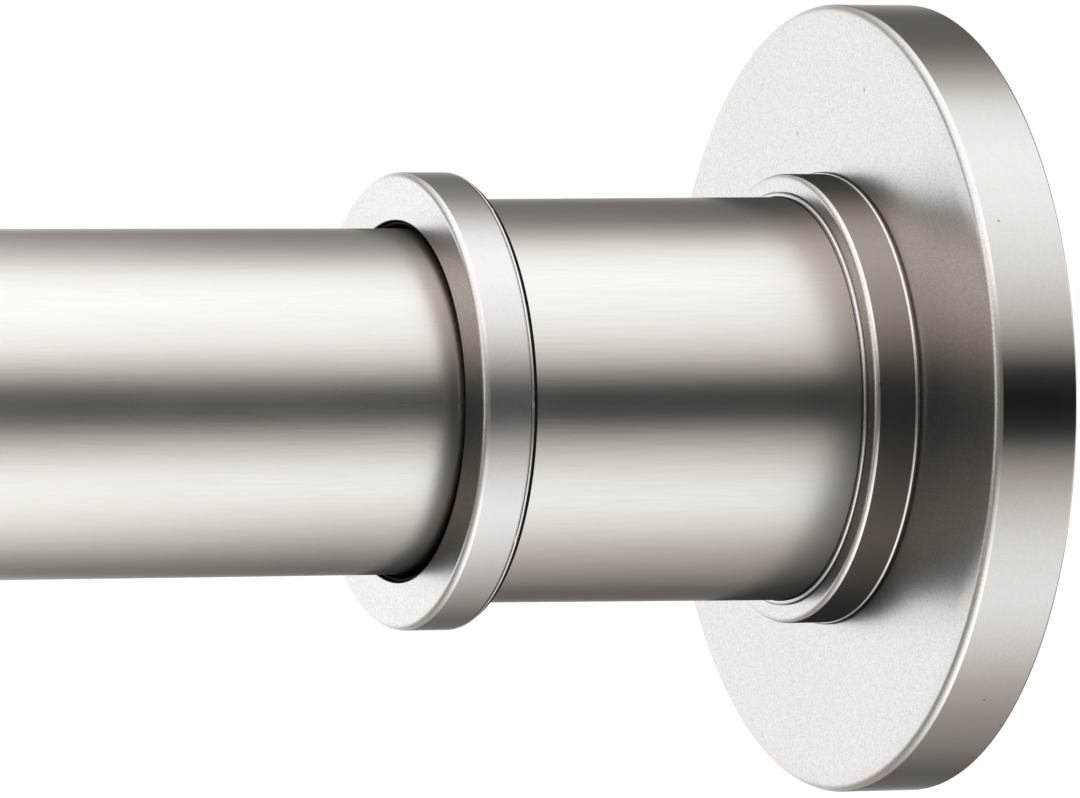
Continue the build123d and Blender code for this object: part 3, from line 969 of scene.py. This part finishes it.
satin_nickel = make_brushed_metal("satin_nickel", SATIN_DARK, SATIN_LIGHT, 0.26, 0.30, SATIN_RELIEF)
satin_sleeve = make_brushed_metal("satin_nickel_sleeve", SATIN_DARK, SATIN_LIGHT, 0.23, 0.26, SATIN_RELIEF)
plain_steel = make_brushed_metal("plain_steel", STEEL_DARK, STEEL_LIGHT, 0.28, 0.36, STEEL_RELIEF)
spring_steel = make_brushed_metal("spring_steel", WIRE_DARK, WIRE_LIGHT, 0.30, 0.40, STEEL_RELIEF)

# %% [markdown]
# ## Pearl nickel
#
# Flange, neck rings and end rings are the same nickel over a blasted surface. The photograph shows coarse
# grain on the faces and hardly any on the rims, which were turned after blasting. Two materials could be
# split by face, but the rounds between them would show the join. The object's own normal fades one into
# the other instead: how far it points along the rod sets grain and roughness.

# %% Pearl nickel
PEARL_DARK = (0.66, 0.62, 0.59)
PEARL_LIGHT = (0.745, 0.705, 0.67)
# End rings: the same nickel in lighter colours. The extra lightness is painted light on the rings, not a
# different metal.
RING_PAINTED_LIGHTER_LOW = (0.705, 0.665, 0.635)
RING_PAINTED_LIGHTER_HIGH = (0.775, 0.735, 0.705)
RIM_LIMIT = 0.3
FACE_LIMIT = 0.9
RIM_GRAIN = 0.3
FACE_GRAIN = 1.8
PIT_DARKNESS = 3.5
GLOSS_DRIFT = 0.015
PEARL_RELIEF = 0.000001


def make_pearl_nickel(name, dark, light, rim_rough, face_rough):
    """The same warm nickel with a fine blasted grain, coarser on faces than on rims."""
    material, tree, shader, effect = new_material(name, pearl_grain, 1.0)
    shader.inputs["Metallic"].default_value = 1.0
    across = math_node(tree, "ABSOLUTE", coordinates(tree, "Normal")["X"])
    grain = map_range(tree, across, RIM_LIMIT, FACE_LIMIT, RIM_GRAIN, FACE_GRAIN)
    sparkle = map_range(tree, effect.outputs["Sparkle"], 0.25, 0.75, -0.5, 0.5)
    speck = math_node(tree, "ADD", math_node(tree, "MULTIPLY", sparkle, grain), 0.5)
    pits = math_node(tree, "MULTIPLY", effect.outputs["Pits"], PIT_DARKNESS)
    speck = math_node(tree, "SUBTRACT", speck, pits)
    mix = colour_between(tree, speck, dark, light)
    mix.node.clamp_factor = False
    tree.links.new(mix, shader.inputs["Base Color"])
    rough = map_range(tree, across, RIM_LIMIT, FACE_LIMIT, rim_rough, face_rough)
    drift = cloudy(tree, effect, -GLOSS_DRIFT, GLOSS_DRIFT)
    tree.links.new(math_node(tree, "ADD", rough, drift), shader.inputs["Roughness"])
    height = math_node(tree, "MULTIPLY", effect.outputs["Height"], grain)
    add_bump(tree, shader, height, PEARL_RELIEF)
    print("finish", name, "roughness", rim_rough, "on rims and", face_rough, "on faces")
    return material


pearl_nickel = make_pearl_nickel("pearl_nickel", PEARL_DARK, PEARL_LIGHT, 0.17, 0.30)
# The end rings' copy is lighter in colour than the flange's. This paints extra light onto the rings.
ring_nickel_painted_lighter = make_pearl_nickel("pearl_nickel_painted_lighter_ring", RING_PAINTED_LIGHTER_LOW, RING_PAINTED_LIGHTER_HIGH, 0.27, 0.28)

# %% [markdown]
# ## Plastics and rubber
#
# Black plastic, white nylon and grey rubber are not metals, so their colour comes from light that is
# scattered, and only a faint gloss lies on top. The liners get a matt black of their own: they are seen
# only as the dark crescent and the dark line, and any gloss would lift those to grey.

# %% Plastics and rubber
PLASTIC_RELIEF = 0.00001
RUBBER_RELIEF = 0.00003
MATT_GLOSS = 0.06


def make_moulded(name, dark, light, rough_low, rough_high, relief=PLASTIC_RELIEF):
    """A moulded, non-metal finish between two near colours."""
    material, tree, shader, effect = new_material(name, moulded_texture, 1.0)
    colour = colour_between(tree, cloudy(tree, effect, 0.0, 1.0), dark, light)
    tree.links.new(colour, shader.inputs["Base Color"])
    tree.links.new(cloudy(tree, effect, rough_low, rough_high), shader.inputs["Roughness"])
    add_bump(tree, shader, effect.outputs["Height"], relief)
    print("finish", name, "roughness", rough_low, "to", rough_high)
    return material


black_plastic = make_moulded("black_plastic", (0.009, 0.009, 0.009), (0.016, 0.016, 0.016), 0.42, 0.52)
matt_black = make_moulded("black_plastic_matt", (0.005, 0.0045, 0.004), (0.008, 0.007, 0.0065), 0.50, 0.60)
matt_black.node_tree.nodes["Principled BSDF"].inputs["Specular IOR Level"].default_value = MATT_GLOSS
white_nylon = make_moulded("white_nylon", (0.74, 0.73, 0.69), (0.80, 0.79, 0.76), 0.36, 0.46)
grey_rubber = make_moulded(
    "grey_rubber", (0.075, 0.075, 0.078), (0.10, 0.10, 0.103), 0.72, 0.85, relief=RUBBER_RELIEF
)

# %% [markdown]
# ## Painting
#
# The record names a finish for every solid, and each stand-in carries the name of one. Both are looked up
# by that name, so no piece can be missed. Sleeves and liners are then given the finer variants that the
# photograph asks for. The end rings get a copy of the pearl nickel with its own roughness and a lighter
# colour, and that lighter colour is painted light.

# %% Give every piece its finish
finishes = {
    "satin_nickel": satin_nickel,
    "pearl_nickel": pearl_nickel,
    "plain_steel": plain_steel,
    "spring_steel": spring_steel,
    "grey_rubber": grey_rubber,
    "black_plastic": black_plastic,
    "white_nylon": white_nylon,
}
node_slots = {part["node"]: part["material_slot"] for part in frame["record"]["subparts"]}


def paint(piece, material):
    """Give a piece one material over all its faces."""
    piece.data.materials.clear()
    piece.data.materials.append(material)


for node, piece in frame["nodes"].items():
    paint(piece, finishes[node_slots[node]])
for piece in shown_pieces():
    if "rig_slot" in piece:
        paint(piece, finishes[piece["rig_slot"]])
for pair, material in ((sleeves, satin_sleeve), (rings, ring_nickel_painted_lighter), (liners, matt_black)):
    for piece in pair.values():
        paint(piece, material)

# %% [markdown]
# ## The studio
#
# Satin metal shows its surroundings more than its own colour. The photograph's bands tell what stood
# around the rod: a dark strip at the camera's height, a bright soft panel above it, a weaker one below,
# and dim surfaces behind. Separate cards could make them, but their edges would show. A large tube of
# fabric round the rod, like a light tent, carries the same bands as a smooth change of brightness. It is
# seen by reflections only.

# %% Light tent
TENT_RADIUS = 1.0
TENT_REACH = (-6.0, 2.9)
TENT_STEPS = 128


def make_tent():
    """Open tube of fabric round the rod, which only reflections see."""
    bm = bmesh.new()
    ends = [bm.verts.new((x, 0, TENT_RADIUS)) for x in TENT_REACH]
    edge = bm.edges.new(ends)
    spin_about_rod(bm, ends + [edge], TENT_STEPS)
    tent = object_from(bm, "light_tent")
    tent.visible_camera = False
    tent.visible_diffuse = False
    tent.visible_shadow = False
    tent.visible_transmission = False
    return tent


tent = make_tent()
print("tent faces", len(tent.data.polygons))

# %% [markdown]
# ## The tent's bands
#
# Each list gives the fabric's level at angles about the rod, in degrees: 0 is in front, 90 above, -90 below
# and 180 behind. Along the rod the tent has three zones. Straight walls mirror the right one, and rounded
# edges sweep over all of them. The flat faces see the sleeve beside them, which mirrors the tent a second
# time. There the photograph is much darker, because the camera and its dark surroundings stand in the way,
# so a ray that has been reflected twice finds dimmer bands.

# %% Bands
TENT_LEVEL = 1.5
RIGHT_BANDS = [
    (-180, 1.15), (-173, 0.55), (-160, 0.16), (-140, 0.12), (-120, 0.28), (-105, 0.38), (-90, 0.55),
    (-75, 0.88), (-60, 1.12), (-45, 1.04), (-30, 0.72), (-18, 0.32), (-11, 0.02), (0, 0.0),
    (9, 0.02), (15, 0.32), (25, 0.70), (40, 1.02), (60, 1.24), (75, 1.30), (92, 1.12),
    (103, 0.62), (115, 0.27), (125, 0.14), (150, 0.13), (165, 0.34), (174, 0.80), (180, 1.15),
]
FRONT_BANDS = [
    (-180, 1.27), (-165, 1.20), (-148, 0.42), (-125, 0.42), (-105, 1.00), (-85, 1.60), (-50, 1.60),
    (-28, 0.90), (-14, 0.20), (0, 0.12), (12, 0.20), (22, 0.75), (36, 1.50), (100, 1.50),
    (128, 0.90), (148, 0.35), (165, 1.20), (180, 1.27),
]
FAR_BANDS = [
    (-180, 1.27), (-165, 1.20), (-148, 0.38), (-128, 0.28), (-105, 0.42), (-60, 0.45), (-25, 0.20),
    (0, 0.14), (20, 0.40), (40, 1.05), (60, 1.30), (105, 1.20), (128, 0.45), (146, 0.25),
    (165, 1.20), (180, 1.27),
]
MIRRORED_BANDS = [
    (-180, 0.04), (-150, 0.03), (-128, 0.04), (-100, 0.11), (-75, 0.18), (-50, 0.13), (-25, 0.05),
    (-10, 0.02), (10, 0.03), (25, 0.21), (45, 0.50), (75, 0.75), (95, 0.70), (112, 0.38),
    (128, 0.10), (150, 0.04), (180, 0.04),
]
print("bands", len(RIGHT_BANDS), len(FRONT_BANDS), len(FAR_BANDS), len(MIRRORED_BANDS))

# %% [markdown]
# ## The tent's fabric
#
# A colour ramp holds a list of bands: its place is the angle round the rod, as a share of a full turn. Dim
# fabric also gets a little warmer, as the photograph's dark strips are. The zones are ramps that fade into
# each other along the rod, and Light Path's Ray Depth tells a first reflection from a second.

# %% Helpers for the fabric
WARM_RED = 0.06
WARM_BLUE = 0.055
WARMTH_OF_BLACK = 1.6
WARMTH_LOST = 1.8
COOLEST = -0.35
FULL_TURN = 360


def fabric_colour(level):
    """Grey of a level, warm where the fabric is dim and a trace cool where it is brightest."""
    warmth = min(max(WARMTH_OF_BLACK - WARMTH_LOST * level, COOLEST), 1.0)
    grey = level / TENT_LEVEL
    return grey * (1.0 + WARM_RED * warmth), grey, grey * (1.0 - WARM_BLUE * warmth), 1.0


def band_ramp(tree, share, bands):
    """Colour ramp with a level for each angle about the rod, from behind and below round to behind."""
    ramp = add_node(tree, "ShaderNodeValToRGB")
    stops = ramp.color_ramp.elements
    while len(stops) < len(bands):
        stops.new(0.5)
    for stop, (degrees, level) in zip(stops, bands):
        stop.position = degrees / FULL_TURN + 0.5
        stop.color = fabric_colour(level)
    tree.links.new(share, ramp.inputs["Fac"])
    return ramp.outputs["Color"]


def blend_zones(tree, place, limits, low_zone, high_zone):
    """Go from one zone's colour to the next between two places along the rod."""
    return mix_colours(tree, map_range(tree, place, *limits, 0.0, 1.0), low_zone, high_zone)


print("dimmest fabric", [round(value, 3) for value in fabric_colour(0.1)])

# %% [markdown]
# With these helpers the fabric is a short chain: the angle round the rod, four ramps, two fades along the
# rod for a first reflection, one fade for a second, and a switch between them.

# %% Tent fabric
FRONT_BLEND = (-1.3, 0.1)
RIGHT_BLEND = (0.20, 0.36)
MIRRORED_BLEND = (0.12, 0.36)
ONE_REFLECTION = 1.5


def make_tent_material():
    """Emission by angle about the rod, in zones along it, with dimmer bands after a second reflection."""
    material = bpy.data.materials.new("tent_fabric")
    material.use_nodes = True
    tree = material.node_tree
    tree.nodes.remove(tree.nodes["Principled BSDF"])
    place = coordinates(tree, "Object")
    forward = math_node(tree, "MULTIPLY", place["Y"], -1.0)
    angle = math_node(tree, "ARCTAN2", place["Z"], forward)
    share = math_node(tree, "ADD", math_node(tree, "MULTIPLY", angle, 1 / math.tau), 0.5)
    right = band_ramp(tree, share, RIGHT_BANDS)
    front = band_ramp(tree, share, FRONT_BANDS)
    far = band_ramp(tree, share, FAR_BANDS)
    mirrored = band_ramp(tree, share, MIRRORED_BANDS)
    left = blend_zones(tree, place["X"], FRONT_BLEND, far, front)
    first = blend_zones(tree, place["X"], RIGHT_BLEND, left, right)
    second = blend_zones(tree, place["X"], MIRRORED_BLEND, mirrored, right)
    rays = add_node(tree, "ShaderNodeLightPath")
    again = math_node(tree, "GREATER_THAN", rays.outputs["Ray Depth"], ONE_REFLECTION)
    glow = add_node(tree, "ShaderNodeEmission", Strength=TENT_LEVEL)
    tree.links.new(mix_colours(tree, again, first, second), glow.inputs["Color"])
    tree.links.new(glow.outputs["Emission"], tree.nodes["Material Output"].inputs["Surface"])
    return material


paint(tent, make_tent_material())
print("fabric", tent.data.materials[0].name, "nodes", len(tent.data.materials[0].node_tree.nodes))

# %% [markdown]
# ## The floor
#
# The floor is plain and pale, and well below the rod, because the photograph shows no shadow on it. Light
# Path's rays let the camera, and reflections, see floor and background as white, while the light that
# falls on the object stays at a plain level. More light would whiten the floor too, but bleach the rod.

# %% Floor
FLOOR_HEIGHT = -0.16
FLOOR_SIZE = 30.0
FLOOR_COLOUR = (0.85, 0.85, 0.85, 1.0)
FLOOR_ROUGHNESS = 0.9
FLOOR_GLOSS = 0.1
FLOOR_LIFT = 0.42
WHITE = (1.0, 1.0, 1.0, 1.0)


def seen_directly(tree):
    """1 for camera, glossy and transmission rays, else 0."""
    rays = add_node(tree, "ShaderNodeLightPath")
    first = math_node(tree, "MAXIMUM", rays.outputs["Is Camera Ray"], rays.outputs["Is Glossy Ray"])
    return math_node(tree, "MAXIMUM", first, rays.outputs["Is Transmission Ray"])


def make_floor():
    """Large pale floor below the rod."""
    bm = bmesh.new()
    bmesh.ops.create_grid(
        bm,
        x_segments=1,
        y_segments=1,
        size=FLOOR_SIZE,
        matrix=Matrix.Translation((0, 0, FLOOR_HEIGHT)),
    )
    floor = object_from(bm, "floor")
    floor.visible_glossy = False
    material = bpy.data.materials.new("pale_floor")
    material.use_nodes = True
    tree = material.node_tree
    shader = tree.nodes["Principled BSDF"]
    shader.inputs["Base Color"].default_value = FLOOR_COLOUR
    shader.inputs["Roughness"].default_value = FLOOR_ROUGHNESS
    shader.inputs["Specular IOR Level"].default_value = FLOOR_GLOSS
    shader.inputs["Emission Color"].default_value = WHITE
    lift = math_node(tree, "MULTIPLY", seen_directly(tree), FLOOR_LIFT)
    tree.links.new(lift, shader.inputs["Emission Strength"])
    paint(floor, material)
    return floor


floor = make_floor()
print("floor at", FLOOR_HEIGHT, "m")

# %% [markdown]
# ## World and lamps
#
# The tent gives the metal its bands, but black plastic and rubber mirror almost nothing. An even white
# world and two large soft lamps light them, the stronger one from the upper left. Neither lamp is seen in
# reflections, because a bright square on the tube would break its bands.

# %% World and lamps
AMBIENT_LEVEL = 0.75

world = bpy.data.worlds.new("studio")
bpy.context.scene.world = world
world.use_nodes = True
sky = world.node_tree
background = sky.nodes["Background"]
background.inputs["Color"].default_value = WHITE
lift = math_node(sky, "MULTIPLY", seen_directly(sky), 1.0 - AMBIENT_LEVEL)
sky.links.new(math_node(sky, "ADD", lift, AMBIENT_LEVEL), background.inputs["Strength"])


def add_soft_lamp(name, place, target, size, power):
    """Square area lamp of some watts that points at a target and isn't seen in reflections."""
    data = bpy.data.lights.new(name, "AREA")
    data.size = size
    data.energy = power
    lamp = bpy.data.objects.new(name, data)
    bpy.context.scene.collection.objects.link(lamp)
    lamp.location = place
    lamp.rotation_euler = (Vector(target) - Vector(place)).to_track_quat("-Z", "Y").to_euler()
    lamp.visible_glossy = False
    lamp.visible_camera = False
    return lamp


rod_middle = (cad_box[0] + cad_box[1]) / 2
add_soft_lamp("key_lamp", (-0.9, -1.0, 1.5), rod_middle, 1.0, 8.0)
add_soft_lamp("fill_lamp", (0.8, -1.2, 0.5), rod_middle, 1.0, 3.0)
print("lamps", [lamp.name for lamp in bpy.data.lights])

# %% [markdown]
# ## The camera
#
# The photograph looks along the rod's right end from the front left, almost level, through a long lens.
# The tube's two silhouettes and the ellipses of ring and flange fix the angles, and the way they shrink
# with distance fixes the lens. Turning the camera by its axes one after another is hard to picture, so its
# right, up and viewing directions are worked out and put together as a matrix.

# %% Camera
VIEW_AZIMUTH = math.radians(23.332)
VIEW_ELEVATION = math.radians(0.320)
VIEW_ROLL = math.radians(-0.303)
VIEW_TARGET = Vector((-30.6, 0.0, 0.104)) * MM
VIEW_DISTANCE = 0.83696
SENSOR_WIDTH = 36.0
LENS = 378.2


def make_camera():
    """Camera on the photographer's spot, turned a little about its own line of sight."""
    look = Vector((
        math.sin(VIEW_AZIMUTH) * math.cos(VIEW_ELEVATION),
        math.cos(VIEW_AZIMUTH) * math.cos(VIEW_ELEVATION),
        -math.sin(VIEW_ELEVATION),
    ))
    level_right = Vector((math.cos(VIEW_AZIMUTH), -math.sin(VIEW_AZIMUTH), 0.0))
    level_up = level_right.cross(look)
    right = math.cos(VIEW_ROLL) * level_right + math.sin(VIEW_ROLL) * level_up
    up = -math.sin(VIEW_ROLL) * level_right + math.cos(VIEW_ROLL) * level_up
    turn = Matrix((right, up, -look)).transposed()
    data = bpy.data.cameras.new("camera")
    data.lens = LENS
    data.sensor_width = SENSOR_WIDTH
    data.clip_start = 0.05
    data.clip_end = 100.0
    camera = bpy.data.objects.new("camera", data)
    bpy.context.scene.collection.objects.link(camera)
    camera.matrix_world = Matrix.Translation(VIEW_TARGET - VIEW_DISTANCE * look) @ turn.to_4x4()
    bpy.context.scene.camera = camera
    return camera


camera = make_camera()
bpy.context.scene.view_settings.view_transform = "Standard"
print("camera at", [round(value, 3) for value in camera.location])
